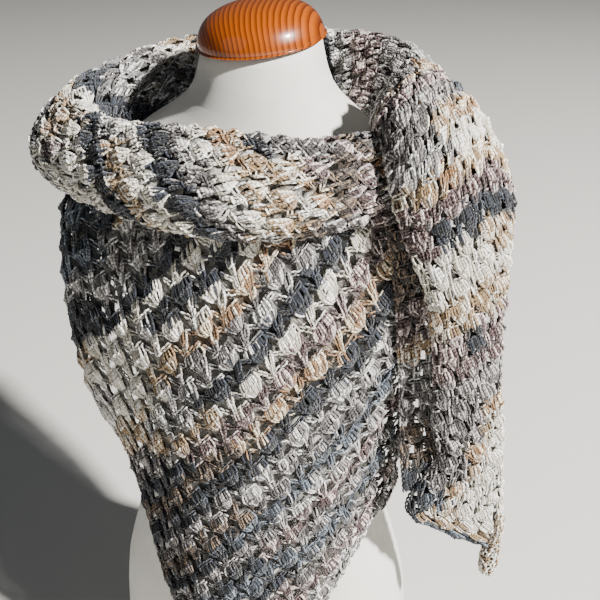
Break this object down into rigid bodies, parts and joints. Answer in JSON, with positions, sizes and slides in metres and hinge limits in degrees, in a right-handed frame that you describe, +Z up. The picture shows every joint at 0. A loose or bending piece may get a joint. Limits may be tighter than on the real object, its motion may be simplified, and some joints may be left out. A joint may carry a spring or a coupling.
{
  "type": "triangle shawl on a limbless dress form",
  "caption": "Crocheted triangle shawl in variegated yarn, worn point down with a rolled collar and one end over the shoulder, on a limbless dress form.",
  "frame": {"origin": "middle of the dress form's flat base, on the surface it stands on", "axes": "+Z up, the form faces -Y, +X is the wearer's left, where the hanging end is"},
  "size_m": [0.4885, 0.3109, 0.8558],
  "materials": {
    "jersey": "off-white cotton jersey over a stuffed form, matt",
    "varnished_pine": "turned pine under glossy orange varnish",
    "yarn": "matt crocheted cotton blend yarn, space-dyed cream, honey, grey, mauve and navy",
    "yarn_tip": "the same yarn, honey and cream"
  },
  "bodies": {
    "root": {"form_torso": "jersey", "form_cap": "varnished_pine", "collar_front": "yarn", "collar_left": "yarn", "collar_back": "yarn", "collar_right": "yarn", "front_panel": "yarn", "drape_left": "yarn", "drape_right": "yarn", "shoulder_fold": "yarn", "tail_front": "yarn", "tail_under": "yarn", "tail_tip": "yarn_tip"}
  },
  "joints": []
}
